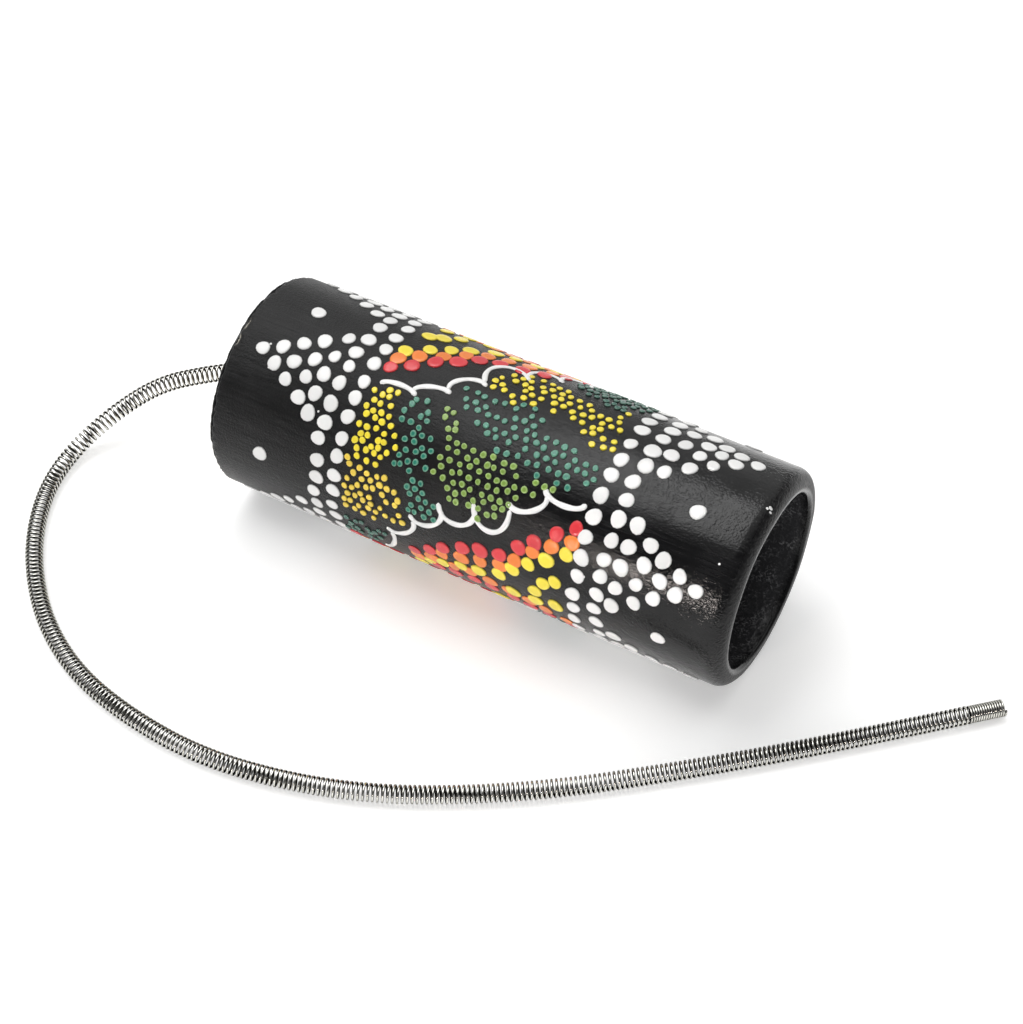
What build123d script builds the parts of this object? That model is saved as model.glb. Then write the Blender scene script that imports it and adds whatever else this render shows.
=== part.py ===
from build123d import *
import math
import os

# Thunder tube: a painted bamboo tube with a skin glued over its rear end and a long thin spring
# hung from the middle of that skin. The tube lies on its side along X with its open mouth at +X.
# Z = 0 is the floor, and the origin is on it, under the middle of the body.

# Tube
tube_length = 177.0
tube_outer_d = 70.0
tube_wall = 7.0
mouth_inner_round = 1.2
mouth_land = 1.0
rear_round = 0.8
seat_rim = 5.5
seat_depth = 10.0

# Skin and the glue under its edge
glue_t = 0.25
glue_margin = 0.4
skin_t = 0.4
skin_rise = 1.6
skin_margin = 0.5

# Anchor in the middle of the skin
patch_t = 0.8
patch_rim = 4.8
patch_round = 0.3
washer_t = 1.0
washer_rim = 3.8
pin_d = 1.0
pin_bite = 2.8
pin_seat_gap = 0.05
pin_chamfer = 0.15

# Spring
spring_outer_d = 5.8
wire_d = 0.8
spring_tail = 3.5
open_turns = 92
tip_turns = 8
tip_gap = 0.5
hook_bend_r = 1.0
hook_past = 1.0
floor_gap = 0.1
bend_share = 0.45

# Room for the spring's root as it swings about the pin
sway_angle = 18.0
root_clearance = 0.3

# Worked out from the sizes above
tube_r = tube_outer_d / 2
axis_z = tube_r
bore_r = tube_r - tube_wall
seat_r = tube_r - seat_rim
mouth_outer_round = tube_wall - mouth_inner_round - mouth_land
anchor_stand_out = glue_t + skin_rise + skin_t + patch_t
body_length = tube_length + anchor_stand_out
rear_x = anchor_stand_out - body_length / 2
mouth_x = rear_x + tube_length

skin_edge_r = tube_r - rear_round
skin_seat_x = rear_x - glue_t
skin_crown_x = skin_seat_x - skin_rise
skin_back_x = skin_crown_x - skin_t

pin_r = pin_d / 2
pin_x = skin_crown_x + washer_t + pin_seat_gap + pin_r
spring_r = spring_outer_d / 2
root_reach = pin_x - (skin_back_x - patch_t)
sway = math.radians(sway_angle)
hole_r = spring_r / math.cos(sway) + root_reach * math.sin(sway) + root_clearance
washer_r = hole_r + washer_rim
patch_r = hole_r + patch_rim
pin_length = 2 * (hole_r + pin_bite)

tube_axis = Axis((0, 0, axis_z), (1, 0, 0))
long_section = Plane((0, 0, axis_z), x_dir=(1, 0, 0), z_dir=(0, -1, 0))

# Tube shell: bored right through, thinned at the rear where the skin is glued on
with BuildPart() as tube_shell:
    with BuildSketch(long_section):
        with BuildLine():
            Polyline(
                (rear_x, seat_r),
                (rear_x, tube_r),
                (mouth_x, tube_r),
                (mouth_x, bore_r),
                (rear_x + seat_depth, bore_r),
                (rear_x + seat_depth, seat_r),
                close=True,
            )
        make_face()
    revolve(axis=tube_axis)
    mouth_edges = faces().sort_by(Axis.X)[-1].edges().sort_by(SortBy.RADIUS)
    fillet(mouth_edges[-1], mouth_outer_round)
    inner_edge = faces().sort_by(Axis.X)[-1].edges().sort_by(SortBy.RADIUS)[0]
    fillet(inner_edge, mouth_inner_round)
    rear_edge = faces().sort_by(Axis.X)[0].edges().sort_by(SortBy.RADIUS)[-1]
    fillet(rear_edge, rear_round)

# Glue ring between the tube's rear face and the edge of the skin
with BuildPart() as glue_ring:
    with BuildSketch(long_section):
        with BuildLine():
            Polyline(
                (rear_x, seat_r + glue_margin),
                (rear_x, skin_edge_r - glue_margin),
                (skin_seat_x, skin_edge_r - glue_margin),
                (skin_seat_x, seat_r + glue_margin),
                close=True,
            )
        make_face()
    revolve(axis=tube_axis)

# Skin: flat where it is glued, drawn out to a shallow cone, flat again under the patch
with BuildPart() as skin:
    with BuildSketch(long_section):
        with BuildLine():
            Polyline(
                (skin_seat_x, skin_edge_r),
                (skin_seat_x, seat_r),
                (skin_crown_x, patch_r + skin_margin),
                (skin_crown_x, hole_r),
                (skin_back_x, hole_r),
                (skin_back_x, patch_r + skin_margin),
                (skin_seat_x - skin_t, seat_r),
                (skin_seat_x - skin_t, skin_edge_r),
                close=True,
            )
        make_face()
    revolve(axis=tube_axis)

# Patch on the outside of the skin
with BuildPart() as skin_patch:
    with BuildSketch(Plane.YZ.offset(skin_back_x)):
        with Locations((0, axis_z)):
            Circle(patch_r)
            Circle(hole_r, mode=Mode.SUBTRACT)
    extrude(amount=-patch_t)
    patch_rim_edge = faces().sort_by(Axis.X)[0].edges().sort_by(SortBy.RADIUS)[-1]
    fillet(patch_rim_edge, patch_round)

# Washer on the inside of the skin
with BuildPart() as anchor_washer:
    with BuildSketch(Plane.YZ.offset(skin_crown_x)):
        with Locations((0, axis_z)):
            Circle(washer_r)
            Circle(hole_r, mode=Mode.SUBTRACT)
    extrude(amount=washer_t)

# Pin: upright through the spring's root, bearing on the washer
with BuildPart() as anchor_pin:
    with BuildSketch(Plane.XY.offset(axis_z)):
        with Locations((pin_x, 0)):
            Circle(pin_r)
    extrude(amount=pin_length / 2, both=True)
    chamfer(edges().filter_by(GeomType.CIRCLE), pin_chamfer)

# Line of the spring: out of the skin, down to the floor and round the near side of the tube.
# Hanging points are a distance behind the rear face, a distance aside and a share of the root's height.
hanging = [
    (9.0, 0.0, 1.0),
    (23.0, -4.0, 0.84),
    (39.5, -9.5, 0.60),
    (52.5, -19.5, 0.26),
    (59.5, -34.0, 0.02),
]
# Lying points are a distance ahead of the rear face and a distance aside
lying = [
    (-57.5, -51.0),
    (-50.0, -68.0),
    (-38.5, -84.0),
    (-22.0, -99.5),
    (-1.0, -111.0),
    (23.0, -116.5),
    (49.0, -118.0),
    (75.0, -113.5),
    (100.0, -105.0),
    (125.0, -91.5),
    (149.0, -75.0),
    (172.0, -56.0),
    (195.0, -36.0),
    (214.0, -18.5),
    (232.0, -1.5),
    (249.6, 15.2),
]
lie_z = spring_r + floor_gap
hang_height = axis_z - lie_z
route = [Vector(pin_x + spring_tail, 0, axis_z)]
route += [Vector(rear_x - out, aside, lie_z + share * hang_height) for out, aside, share in hanging]
route += [Vector(rear_x + ahead, aside, lie_z) for ahead, aside in lying]

# Each corner's arc takes the same share of the shorter of its two runs
runs = [b - a for a, b in zip(route, route[1:])]
bends = []
for run_in, run_out in zip(runs, runs[1:]):
    half_turn = math.radians(run_in.get_angle(run_out)) / 2
    bends.append(bend_share * min(run_in.length, run_out.length) / math.tan(half_turn))
print("spring line: radii", [round(bend, 1) for bend in bends])

with BuildLine() as spring_line:
    FilletPolyline(*route, radius=bends)
line = spring_line.wire()

# Curls: a circle carried along that line, wide apart on the free stretch and close at the tip
coil_r = spring_r - wire_d / 2
tip_pitch = wire_d + tip_gap
open_length = line.length - tip_turns * tip_pitch
open_pitch = open_length / open_turns
all_turns = open_turns + tip_turns
turn_at_pin = spring_tail / open_pitch


def distance_at(turn):
    # How far along the line the wire is after so many turns
    if turn <= open_turns:
        return turn * open_pitch
    return open_length + (turn - open_turns) * tip_pitch


def coil_point(turn):
    # Middle of the wire: it is level with the line, at its side, where it passes the pin
    along = distance_at(turn)
    centre = line.position_at(along, position_mode=PositionMode.LENGTH)
    ahead = line.tangent_at(along, position_mode=PositionMode.LENGTH)
    side = ahead.cross(Vector(0, 0, 1)).normalized()
    top = side.cross(ahead)
    angle = 2 * math.pi * (turn - turn_at_pin)
    return centre + side * (coil_r * math.cos(angle)) + top * (coil_r * math.sin(angle))


def coil_direction(turn):
    # The way the wire runs there, from points a little before and after it
    step = 0.002
    return (coil_point(min(turn + step, all_turns)) - coil_point(max(turn - step, 0))).normalized()


# Where the wire is, and the way it runs, at each half turn
half_turns = [n / 2 for n in range(2 * all_turns + 1)]
stops = [coil_point(turn) for turn in half_turns]
ways = [coil_direction(turn) for turn in half_turns]

# Root hook: the wire's end is bent in and runs across the coil behind the pin, so it can't unscrew
back = ways[0] * -1
to_axis = route[0] - stops[0]
inward = (to_axis - back * to_axis.dot(back)).normalized()
bend_to_axis = coil_r - hook_bend_r
hook_turn = math.acos(-hook_bend_r / bend_to_axis)
hook_across = back * math.cos(hook_turn) + inward * math.sin(hook_turn)
hook_end = stops[0] + inward * hook_bend_r
hook_end += (back * math.sin(hook_turn) - inward * math.cos(hook_turn)) * hook_bend_r
hook_run = math.sqrt(bend_to_axis**2 - hook_bend_r**2) + hook_past

# Spring: one wire, two arcs to each half turn, with a short straight end at the tip
wire_start = hook_end + hook_across * hook_run
wire_end = stops[-1] + ways[-1] * wire_d
wire_runs = [Line(wire_start, hook_end), TangentArc(hook_end, stops[0], tangent=hook_across * -1)]
for a, b, way_a, way_b in zip(stops, stops[1:], ways, ways[1:]):
    chord = b - a
    slack = 2 * (1 - way_a.dot(way_b))
    lean = chord.dot(way_a + way_b)
    reach = (math.sqrt(lean * lean + slack * chord.dot(chord)) - lean) / slack
    middle = (a + b + (way_a - way_b) * reach) * 0.5
    wire_runs.append(TangentArc(a, middle, tangent=way_a))
    wire_runs.append(TangentArc(middle, b, tangent=(b - way_b * reach) - (a + way_a * reach)))
wire_runs.append(Line(stops[-1], wire_end))

with BuildPart() as spring:
    with BuildLine() as wire_path:
        add(Wire(wire_runs))
    with BuildSketch(Plane(origin=wire_start, z_dir=hook_across * -1)):
        Circle(wire_d / 2)
    sweep()

# Least gap between neighbouring turns, and the volume against the wire's section times its length
wire = wire_path.wire()
wire_length = wire.length
points_per_turn = 12
point_count = all_turns * points_per_turn
wire_points = wire.positions([n / point_count for n in range(point_count + 1)])
nearest = min(
    (p - q).length
    for n, p in enumerate(wire_points)
    for q in wire_points[n + points_per_turn // 2 : n + 3 * points_per_turn]
)
fill = spring.part.volume / (math.pi * (wire_d / 2) ** 2 * wire_length)
print(f"spring: line {line.length:.1f} mm, pitch {open_pitch:.2f} mm, least gap {nearest - wire_d:.2f} mm")
print(f"spring: wire {wire_length:.0f} mm, volume over section times length {fill:.4f}")

# Write each piece
os.makedirs("parts", exist_ok=True)
pieces = {
    "tube_shell": tube_shell,
    "glue_ring": glue_ring,
    "skin": skin,
    "skin_patch": skin_patch,
    "anchor_washer": anchor_washer,
    "anchor_pin": anchor_pin,
    "spring": spring,
}
for name, piece in pieces.items():
    piece.part.label = name
    export_step(piece.part, f"parts/{name}.step")
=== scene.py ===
import math

import bpy
import numpy as np
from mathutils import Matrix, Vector


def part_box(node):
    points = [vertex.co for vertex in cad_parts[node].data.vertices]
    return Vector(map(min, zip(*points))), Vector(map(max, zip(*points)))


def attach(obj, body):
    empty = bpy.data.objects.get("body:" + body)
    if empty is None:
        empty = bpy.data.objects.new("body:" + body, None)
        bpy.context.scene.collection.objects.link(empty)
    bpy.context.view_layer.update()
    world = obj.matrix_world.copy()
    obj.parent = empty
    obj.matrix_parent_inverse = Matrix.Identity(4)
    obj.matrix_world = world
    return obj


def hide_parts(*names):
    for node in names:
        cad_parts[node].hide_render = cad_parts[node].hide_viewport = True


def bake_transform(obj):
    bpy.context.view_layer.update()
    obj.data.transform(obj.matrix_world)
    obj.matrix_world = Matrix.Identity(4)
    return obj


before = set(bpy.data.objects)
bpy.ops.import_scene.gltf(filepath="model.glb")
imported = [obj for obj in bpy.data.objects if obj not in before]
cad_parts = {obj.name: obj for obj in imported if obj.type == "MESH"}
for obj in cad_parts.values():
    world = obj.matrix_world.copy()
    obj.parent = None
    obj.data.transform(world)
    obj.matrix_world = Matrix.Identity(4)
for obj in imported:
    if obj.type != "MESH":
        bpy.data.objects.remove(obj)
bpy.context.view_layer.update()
scene = bpy.context.scene
mm = 0.001
print("frame loaded:", len(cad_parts), "nodes")

# Sizes read from the frame: the tube lies along X
tubeLow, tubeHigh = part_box("tube_shell")
rearX, mouthX = tubeLow.x, tubeHigh.x
tubeR = (tubeHigh.y - tubeLow.y) / 2
axisZ = (tubeHigh.z + tubeLow.z) / 2
skinLow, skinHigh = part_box("skin")


# Camera
cameraPlan = {
    "place": (0.2319, -0.4100, 0.5301),
    "ahead": (-0.33153, 0.59007, -0.73614),
    "lens": 77.42, "sensor": 36.0,
}


def placeObject(name, data, place, ahead):
    # An object at a place, looking ahead with its top up
    holder = bpy.data.objects.new(name, data)
    holder.location = place
    holder.rotation_euler = Vector(ahead).to_track_quat("-Z", "Y").to_euler()
    scene.collection.objects.link(holder)
    return holder


camera = bpy.data.cameras.new("camera")
camera.sensor_fit = "HORIZONTAL"
camera.sensor_width = cameraPlan["sensor"]
camera.lens = cameraPlan["lens"]
scene.camera = placeObject("camera", camera, cameraPlan["place"], cameraPlan["ahead"])


# Mesh helpers
noTriangles = np.zeros((0, 3), int)
join = np.concatenate


def gridFaces(rows, columns, wrapRows=False):
    # Quad between each grid point, the next in its closed row and the two in the row after
    i, j = np.meshgrid(np.arange(rows if wrapRows else rows - 1), np.arange(columns), indexing="ij")
    nextI, nextJ = (i + 1) % rows, (j + 1) % columns
    corners = [i * columns + j, i * columns + nextJ, nextI * columns + nextJ, nextI * columns + j]
    return np.stack(corners, -1).reshape(-1, 4)


def fanFaces(ring, centre, flip=False):
    # Triangle between a centre point and each side of a ring
    after = np.roll(ring, -1)
    sides = (after, ring) if flip else (ring, after)
    return np.stack([*sides, np.full(len(ring), centre)], -1)


def capFaces(rows, columns):
    # Fans over a grid's first and last rows, from the two points that come after the grid
    ring, size = np.arange(columns), rows * columns
    return join([fanFaces(ring, size, flip=True), fanFaces(ring + size - columns, size + 1)])


def makePiece(name, points, quads, triangles, material, values=None):
    # Loops are laid end to end, quads first; values are numbers stored on the points
    mesh = bpy.data.meshes.new(name)
    mesh.vertices.add(len(points))
    mesh.vertices.foreach_set("co", np.asarray(points, np.float32).ravel())
    loops = join([quads.ravel(), triangles.ravel()]).astype(np.int32)
    starts = [np.arange(len(quads)) * 4, quads.size + np.arange(len(triangles)) * 3]
    starts = join(starts).astype(np.int32)
    mesh.loops.add(len(loops))
    mesh.loops.foreach_set("vertex_index", loops)
    mesh.polygons.add(len(starts))
    mesh.polygons.foreach_set("loop_start", starts)
    mesh.polygons.foreach_set("use_smooth", np.ones(len(starts), bool))
    mesh.update(calc_edges=True)
    for key, numbers in (values or {}).items():
        attribute = mesh.attributes.new(key, "FLOAT", "POINT")
        attribute.data.foreach_set("value", np.asarray(numbers, np.float32).ravel())
    mesh.materials.append(material)
    piece = bpy.data.objects.new(name, mesh)
    scene.collection.objects.link(piece)
    return piece


def wobble(angle, seed, waves, size):
    # Sum of cosines round the tube with seeded phases, the short waves weaker
    phases = np.random.default_rng(seed).uniform(0, 2 * np.pi, len(waves))
    total = sum(np.cos(w * angle + p) / math.sqrt(w) for w, p in zip(waves, phases))
    return size * total / math.sqrt(len(waves))


def smooth(t):
    # From 0 to 1: three squares less two cubes
    t = np.clip(t, 0, 1)
    return t * t * (3 - 2 * t)


def roundTurn(count):
    # Even angles round a circle
    return np.linspace(0, 2 * np.pi, count, endpoint=False)


def unit(vectors):
    return vectors / np.linalg.norm(vectors, axis=-1, keepdims=True)


# Material helpers
def newMaterial(name):
    material = bpy.data.materials.new(name)
    material.use_nodes = True
    return material, material.node_tree


def feed(tree, node, inputs):
    # Sockets are linked to the node's inputs, plain values are set on them
    for key, value in inputs.items():
        if isinstance(value, bpy.types.NodeSocket):
            tree.links.new(value, node.inputs[key])
        else:
            node.inputs[key].default_value = value


def addNode(tree, kind, output, inputs=None, **settings):
    # A new node's output
    node = tree.nodes.new("ShaderNode" + kind)
    for key, value in settings.items():
        setattr(node, key, value)
    feed(tree, node, inputs or {})
    return node.outputs[output]


def dress(material, plan, colour, share, height, extra=None, moreRough=()):
    # Colour, roughness and bumps go into the material's shader: the share picks the roughness between the plan's
    # two, and the plan's lift is the bumps' strength and distance
    tree = material.node_tree
    strength, distance = plan["lift"]
    normal = addNode(tree, "Bump", "Normal", {"Height": height, "Strength": strength, "Distance": distance})
    roughness = plus(tree, between(tree, share, *plan["roughness"]), *moreRough)
    inputs = {"Base Color": colour, "Roughness": roughness, "Normal": normal, **(extra or {})}
    feed(tree, tree.nodes["Principled BSDF"], inputs)
    return material


def newGroup(name, inputs, outputs):
    # A node group with named sockets, what its start node gives and its end node
    group = bpy.data.node_groups.new(name, "ShaderNodeTree")
    for way, sockets in (("INPUT", inputs), ("OUTPUT", outputs)):
        for key, kind in sockets.items():
            group.interface.new_socket(key, in_out=way, socket_type="NodeSocket" + kind)
    return group, group.nodes.new("NodeGroupInput").outputs, group.nodes.new("NodeGroupOutput")


def objectPoint(tree, scale=(1.0, 1.0, 1.0), shift=(0.0, 0.0, 0.0)):
    # Object coordinates, stretched and then shifted
    point = addNode(tree, "TexCoord", "Object")
    return addNode(tree, "Mapping", "Vector", {"Vector": point, "Scale": scale, "Location": shift})


def mix(tree, share, low, high):
    # Inputs 0, 6 and 7 and output 2 are the ones that a Mix node uses for colours
    low, high = [(*value, 1.0) if isinstance(value, tuple) else value for value in (low, high)]
    return addNode(tree, "Mix", 2, {0: share, 6: low, 7: high}, data_type="RGBA")


def mapRange(tree, value, fromLow, fromHigh, toLow=0.0, toHigh=1.0, **settings):
    inputs = {"Value": value, "From Min": fromLow, "From Max": fromHigh, "To Min": toLow, "To Max": toHigh}
    return addNode(tree, "MapRange", "Result", inputs, **settings)


def between(tree, share, low, high):
    # From low to high as the share goes from 0 to 1
    return mapRange(tree, share, 0.0, 1.0, low, high)


def maths(tree, operation, a, b=0.0, **settings):
    return addNode(tree, "Math", 0, {0: a, 1: b}, operation=operation, **settings)


def times(tree, a, b):
    return maths(tree, "MULTIPLY", a, b)


def plus(tree, total, *others):
    for value in others:
        total = maths(tree, "ADD", total, value)
    return total


def stored(tree, name):
    return addNode(tree, "Attribute", "Fac", attribute_name=name)


def makeGrainGroup():
    # Noise at one scale: a mask, spread about its middle by the contrast, and a height for bumps
    inputs = {"Point": "Vector", "Scale": "Float", "Contrast": "Float"}
    group, start, end = newGroup("grain", inputs, {"Mask": "Float", "Height": "Float"})
    settings = {"Vector": start["Point"], "Scale": start["Scale"], "Detail": 4.0, "Roughness": 0.6}
    noise = addNode(group, "TexNoise", "Fac", settings)
    spread = times(group, maths(group, "SUBTRACT", noise, 0.5), start["Contrast"])
    mask = maths(group, "ADD", spread, 0.5, use_clamp=True)
    feed(group, end, {"Mask": mask, "Height": noise})
    return group


grainGroup = makeGrainGroup()


def grain(tree, scale, contrast, stretch=(1.0, 1.0, 1.0)):
    inputs = {"Point": objectPoint(tree, stretch), "Scale": scale, "Contrast": contrast}
    mask = addNode(tree, "Group", "Mask", inputs, node_tree=grainGroup)
    return mask, mask.node.outputs["Height"]


# Spring: one wire wound along a line that leaves the skin, falls to the floor and runs round the tube
springPlan = {
    "outer": 5.8 * mm, "wire": 0.74 * mm, "pitch": 1.43 * mm,
    "hangStretch": 0.45 * mm,  # added pitch at the root, where the spring hangs
    "hangLength": 150.0 * mm,
    "pinAlong": 3.5 * mm, "pinSpread": 3.0 * mm,
    "pinPitch": 4.3 * mm,  # the turns stand apart where the pin passes through
    "tipTurns": 13, "tipPitch": 0.775 * mm, "tipOuter": 5.4 * mm, "tipEase": 1.6 * mm,
    "hookBend": 1.0 * mm, "hookPast": 1.0 * mm, "stepsPerTurn": 20, "sides": 8,
    "wayParts": 2000,  # the line's way is taken over two such parts of its length
    "rootHeight": 35.0 * mm, "lieHeight": 3.0 * mm,
    "route": [  # mm ahead of the tube's rear edge, mm aside, share of the rise from the lying part to the root
        (3.2, 0, 1), (-9, 0, 1), (-23, -4, 0.84), (-39.5, -9.5, 0.60), (-52.5, -19.5, 0.26), (-59.5, -34, 0.02),
        (-57.5, -51, 0), (-50, -68, 0), (-38.5, -84, 0), (-22, -99.5, 0), (-1, -111, 0), (23, -116.5, 0),
        (49, -118, 0), (75, -113.5, 0), (100, -105, 0), (125, -91.5, 0), (149, -75, 0), (172, -56, 0),
        (195, -36, 0), (214, -18.5, 0), (232, -1.5, 0), (249.6, 15.2, 0),
    ],
    "stain": (260.0, 1.6),  # scale and contrast, as for all grain, and a stretch for some
    "scratch": (2600.0, 1.5),
    # Painted highlight on the wire's outer side, varied by the stain, and painted shade on its inner side between
    # the turns
    "stainedHighlightColours": ((0.50, 0.495, 0.455), (0.97, 0.96, 0.90)),
    "paintedHighlightRange": (0.30, 0.92),  # how far a side looks out of the coil where the painted highlight starts and is full
    "paintedShadeColour": (0.085, 0.084, 0.074),
    "roughness": (0.04, 0.10), "lift": (0.15, 0.05 * mm),
}


def routeLine(plan):
    # Points along a NURBS spline that has the route as its control points
    low = plan["lieHeight"]
    route = np.array(plan["route"]) * [mm, mm, plan["rootHeight"] - low] + [rearX, 0.0, low]
    curve = bpy.data.curves.new("springRoute", "CURVE")
    curve.dimensions = "3D"
    spline = curve.splines.new("NURBS")
    spline.points.add(len(route) - 1)
    spline.points.foreach_set("co", np.hstack([route, np.ones((len(route), 1))]).ravel())
    spline.order_u = 3
    spline.use_endpoint_u = True
    spline.resolution_u = 32
    holder = bpy.data.objects.new("springRoute", curve)
    scene.collection.objects.link(holder)
    bpy.context.view_layer.update()
    mesh = bpy.data.meshes.new_from_object(holder)
    points = np.zeros(len(mesh.vertices) * 3)
    mesh.vertices.foreach_get("co", points)
    bpy.data.objects.remove(holder)
    bpy.data.curves.remove(curve)
    bpy.data.meshes.remove(mesh)
    return points.reshape(-1, 3)


def pointsAt(here, along, line):
    # Points of the line at distances along it
    return np.stack([np.interp(here, along, line[:, k]) for k in range(3)], -1)


def windSpring(plan):
    # Turns build up at one over the pitch along the line; the wire's middle is the line's point plus a circle
    # across the line at that turn, and the wire is a ring carried along the middle
    line = routeLine(plan)
    lineAlong = join([[0.0], np.cumsum(np.linalg.norm(np.diff(line, axis=0), axis=1))])
    length = lineAlong[-1]
    along = np.linspace(0, length, num=40001)
    tipStart = length - plan["tipTurns"] * plan["tipPitch"]
    nearPin = np.exp(-(((along - plan["pinAlong"]) / plan["pinSpread"]) ** 2))
    pitch = plan["pitch"] + plan["hangStretch"] * np.exp(-((along / plan["hangLength"]) ** 2))
    pitch = pitch + (plan["pinPitch"] - pitch) * nearPin
    tight = smooth((along - tipStart + plan["tipEase"]) / plan["tipEase"])
    pitch = pitch + (plan["tipPitch"] - pitch) * tight
    turnsAt = join([[0.0], np.cumsum(np.diff(along) * 2 / (pitch[1:] + pitch[:-1]))])

    turns = np.arange(0, turnsAt[-1], 1 / plan["stepsPerTurn"])
    here = np.interp(turns, turnsAt, along)
    reach = length / plan["wayParts"]
    ahead = unit(pointsAt(here + reach, lineAlong, line) - pointsAt(here - reach, lineAlong, line))
    side = unit(np.cross(ahead, [0.0, 0.0, 1.0]))
    top = np.cross(side, ahead)
    angle = 2 * np.pi * (turns - np.interp(plan["pinAlong"], along, turnsAt))
    outwards = side * np.cos(angle)[:, None] + top * np.sin(angle)[:, None]
    narrowed = np.interp(here, along, tight) * (plan["outer"] - plan["tipOuter"])
    coilR = (plan["outer"] - plan["wire"] - narrowed) / 2
    wire = pointsAt(here, lineAlong, line) + outwards * coilR[:, None]

    # Root hook: an arc that turns the wire's end inwards, then a straight run across the coil
    back = unit(wire[0] - wire[1])
    inwards = unit(-outwards[0] + back * (outwards[0] @ back))
    bend, gap = plan["hookBend"], coilR[0] - plan["hookBend"]
    hookTurn = math.acos(-bend / gap)
    t = np.linspace(0, hookTurn, num=12)[1:, None]
    arc = wire[0] + bend * (back * np.sin(t) + inwards * (1 - np.cos(t)))
    arcOut = back * np.sin(t) - inwards * np.cos(t)
    across = back * math.cos(hookTurn) + inwards * math.sin(hookTurn)
    run = np.linspace(0, math.sqrt(gap**2 - bend**2) + plan["hookPast"], num=5)[1:, None]
    straight = arc[-1] + across * run
    wire = join([straight[::-1], arc[::-1], wire])
    outwards = join([np.repeat(arcOut[-1:], len(straight), 0), arcOut[::-1], outwards])

    direction = unit(np.gradient(wire, axis=0))
    outwards = unit(outwards - direction * (outwards * direction).sum(1, keepdims=True))
    across = np.cross(direction, outwards)
    count, sides = len(wire), plan["sides"]
    around = roundTurn(sides)[:, None]
    ring = outwards[:, None] * np.cos(around) + across[:, None] * np.sin(around)
    points = (wire[:, None] + ring * plan["wire"] / 2).reshape(-1, 3)
    points = join([points, wire[:1], wire[-1:]])
    values = {"outer": join([np.tile(np.cos(around[:, 0]), count), [0.0, 0.0]])}
    print(f"spring: {turnsAt[-1]:.0f} turns on a line of {length * 1000:.1f} mm")
    return (points, gridFaces(count, sides), capFaces(count, sides)), values, line, length


def springSteel(plan):
    # Stained wire, with a painted highlight where it looks out of the coil and painted shade between the turns
    material, tree = newMaterial("springSteel")
    stain = grain(tree, *plan["stain"])[0]
    scratch, height = grain(tree, *plan["scratch"])
    # Painted highlight where the wire looks out of the coil, painted shade where it faces in between the turns
    paintedHighlight = mapRange(tree, stored(tree, "outer"), *plan["paintedHighlightRange"])
    colour = mix(tree, paintedHighlight, plan["paintedShadeColour"], mix(tree, stain, *plan["stainedHighlightColours"]))
    extra = {"Metallic": 1.0, "Specular Tint": (0.03, 0.03, 0.028, 1.0)}  # dark where the wire turns away
    return dress(material, plan, colour, scratch, height, extra)


springMesh, springValues, springLine, springLength = windSpring(springPlan)
spring = makePiece("wireSpring", *springMesh, springSteel(springPlan), springValues)
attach(spring, "spring")
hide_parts("spring")


# Tube: a turned bamboo tube with a rounded lip, a nicked rear edge and a brushed black coat
tubePlan = {
    "wall": 7.0 * mm, "lipOuter": 4.8 * mm, "lipInner": 1.2 * mm,
    "lipEase": 9.0 * mm,  # the lip's waves end so far from the mouth, and the swelling starts there
    "lipMatt": 1.4,
    "rearRound": 0.8 * mm, "rearEase": 4.0 * mm, "seatRim": 5.5 * mm, "seatDepth": 10.0 * mm,
    "swell": {"seed": 8, "waves": (2, 3, 5), "size": 0.10 * mm},
    "swellTwist": 14.0,  # radians in a metre
    "lipWaves": {"seed": 5, "waves": (2, 3, 5, 8), "size": 0.20 * mm},
    "nicksAlong": {"seed": 3, "waves": (5, 9, 23, 37, 52, 71), "size": 1.5 * mm},
    "nicksIn": {"seed": 9, "waves": (13, 34, 47, 66, 89), "size": 1.5 * mm},
    "nickLength": 2.5 * mm, "nickDepth": 3.0 * mm,
    "chipAngles": (16.5, 19, 26.5, 28.5, 172, 231, 306),  # degrees from the top where the edge lost its paint
    "chipSpread": 1.3, "chipAlong": 0.25 * mm, "chipIn": 0.35 * mm, "chipReach": 1.3 * mm, "chipFade": 0.5 * mm,
    "aroundCount": 320,
}


def tubeWave(turn, x, plan=tubePlan):
    # Slow swelling of the hand-made surface, none at the two ends
    towardsRear = smooth((rearX + plan["rearEase"] - x) / plan["rearEase"])
    towardsLip = smooth((x - mouthX + plan["lipEase"]) / plan["lipEase"])
    return wobble(turn + plan["swellTwist"] * x, **plan["swell"]) * (1 - towardsLip) * (1 - towardsRear)


def arcRun(centreX, centreR, radius, start, end, count):
    # Points on a circle in the section, from one angle to another
    t = np.radians(np.linspace(start, end, count))
    return np.stack([centreX + radius * np.cos(t), centreR + radius * np.sin(t)], -1)


def straightRun(a, b, count):
    # Even points from a to b, without the ends
    t = np.linspace(0, 1, count + 2)[1:-1, None]
    return np.array(a) * (1 - t) + np.array(b) * t


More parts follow.
